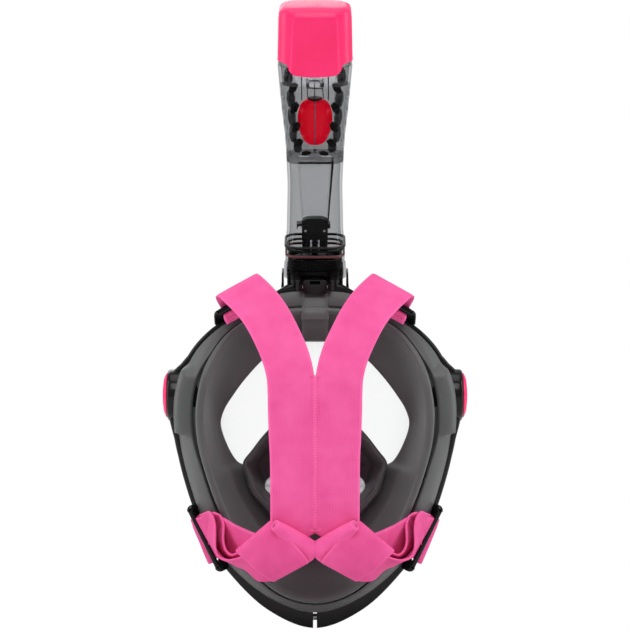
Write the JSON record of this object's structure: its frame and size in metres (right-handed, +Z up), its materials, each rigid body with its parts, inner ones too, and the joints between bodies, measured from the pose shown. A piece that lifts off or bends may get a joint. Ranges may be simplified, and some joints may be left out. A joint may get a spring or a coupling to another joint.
{
  "type": "full face snorkel mask",
  "caption": "Full face snorkel mask with a clear wide-view lens, silicone skirt, dry-top tube, one-way valves and an elastic head harness.",
  "frame": {"origin": "centre of the face opening: on the symmetry plane, level with the side valve axis, in the plane where the skirt leaves the rim", "axes": "+Z up as worn, +Y from the lens back through the face opening towards the head, +X to the wearer's left"},
  "size_m": [0.1996, 0.1474, 0.4063],
  "materials": {
    "black_gloss": "moulded gloss black, fine scuffs",
    "black_matte": "moulded satin black",
    "clear_lens": "clear polycarbonate",
    "smoke_clear": "smoke-tinted clear plastic",
    "smoke_silicone": "smoke-grey silicone, satin",
    "dark_silicone": "dark grey silicone",
    "flap_silicone": "thin milky silicone",
    "pink_gloss": "glossy hot pink",
    "red_gloss": "glossy translucent red",
    "seal_red": "dark red rubber",
    "pink_elastic": "woven elastic webbing",
    "steel": "plated steel"
  },
  "bodies": {
    "mask": {"frame_rim": "black_gloss", "snorkel_socket": "black_gloss", "chin_drain_seat": "black_matte", "chin_drain_cover": "black_matte", "upper_strap_loop_left": "black_matte", "upper_strap_loop_right": "black_matte", "lower_strap_loop_left": "black_matte", "lower_strap_loop_right": "black_matte", "side_exhaust_seat_left": "black_matte", "side_exhaust_seat_right": "black_matte", "lens_window": "clear_lens", "inhale_valve_seat_left": "clear_lens", "inhale_valve_seat_right": "clear_lens", "face_skirt": "smoke_silicone", "orinasal_pocket": "dark_silicone", "side_cover_left": "pink_gloss", "side_cover_right": "pink_gloss", "upper_strap_left": "pink_elastic", "upper_strap_right": "pink_elastic", "lower_strap_left": "pink_elastic", "lower_strap_right": "pink_elastic", "lower_strap_tail_left": "pink_elastic", "lower_strap_tail_right": "pink_elastic", "chin_clamp_screw": "steel", "chin_clamp_nut": "steel", "latch_pin": "steel", "latch_spring": "steel"},
    "snorkel": {"tube_collar": "smoke_clear", "tube_seal_ring": "seal_red", "snorkel_tube": "smoke_clear", "air_divider": "smoke_clear", "divider_anchor": "black_matte", "anchor_stem": "black_matte", "dry_top_cage": "smoke_clear", "float_seat": "clear_lens", "snorkel_cap": "pink_gloss"},
    "float": {"snorkel_float": "red_gloss", "float_pad": "seal_red"},
    "latch": {"snorkel_latch": "black_gloss"},
    "inhale_flap_left": {"inhale_valve_flap_left": "flap_silicone"},
    "inhale_flap_right": {"inhale_valve_flap_right": "flap_silicone"},
    "exhaust_flap_left": {"side_exhaust_flap_left": "flap_silicone"},
    "exhaust_flap_right": {"side_exhaust_flap_right": "flap_silicone"},
    "drain_flap": {"chin_drain_flap": "flap_silicone"}
  },
  "joints": [
    {"name": "snorkel_slide", "type": "slide", "parent": "mask", "child": "snorkel", "axis": [0, 0.309, 0.9511], "range_m": [0, 0.03]},
    {"name": "latch_rock", "type": "hinge", "parent": "mask", "child": "latch", "pos_m": [0, 0.00928, 0.07065], "axis": [-1, 0, 0], "range_deg": [0, 8], "deforming": ["latch_spring"]},
    {"name": "float_slide", "type": "slide", "parent": "snorkel", "child": "float", "axis": [0, 0.309, 0.9511], "range_m": [0, 0.01]},
    {"name": "inhale_left", "type": "slide", "parent": "mask", "child": "inhale_flap_left", "axis": [0, 1, 0], "range_m": [0, 0.0015]},
    {"name": "inhale_right", "type": "slide", "parent": "mask", "child": "inhale_flap_right", "axis": [0, 1, 0], "range_m": [0, 0.0015]},
    {"name": "exhaust_left", "type": "slide", "parent": "mask", "child": "exhaust_flap_left", "axis": [1, 0, 0], "range_m": [0, 0.0015]},
    {"name": "exhaust_right", "type": "slide", "parent": "mask", "child": "exhaust_flap_right", "axis": [-1, 0, 0], "range_m": [0, 0.0015]},
    {"name": "drain_open", "type": "slide", "parent": "mask", "child": "drain_flap", "axis": [0, -0.7986, -0.6018], "range_m": [0, 0.002]}
  ],
  "couplings": [
    {"joint": "inhale_right", "follows": "inhale_left", "ratio": 1},
    {"joint": "exhaust_right", "follows": "exhaust_left", "ratio": 1}
  ]
}
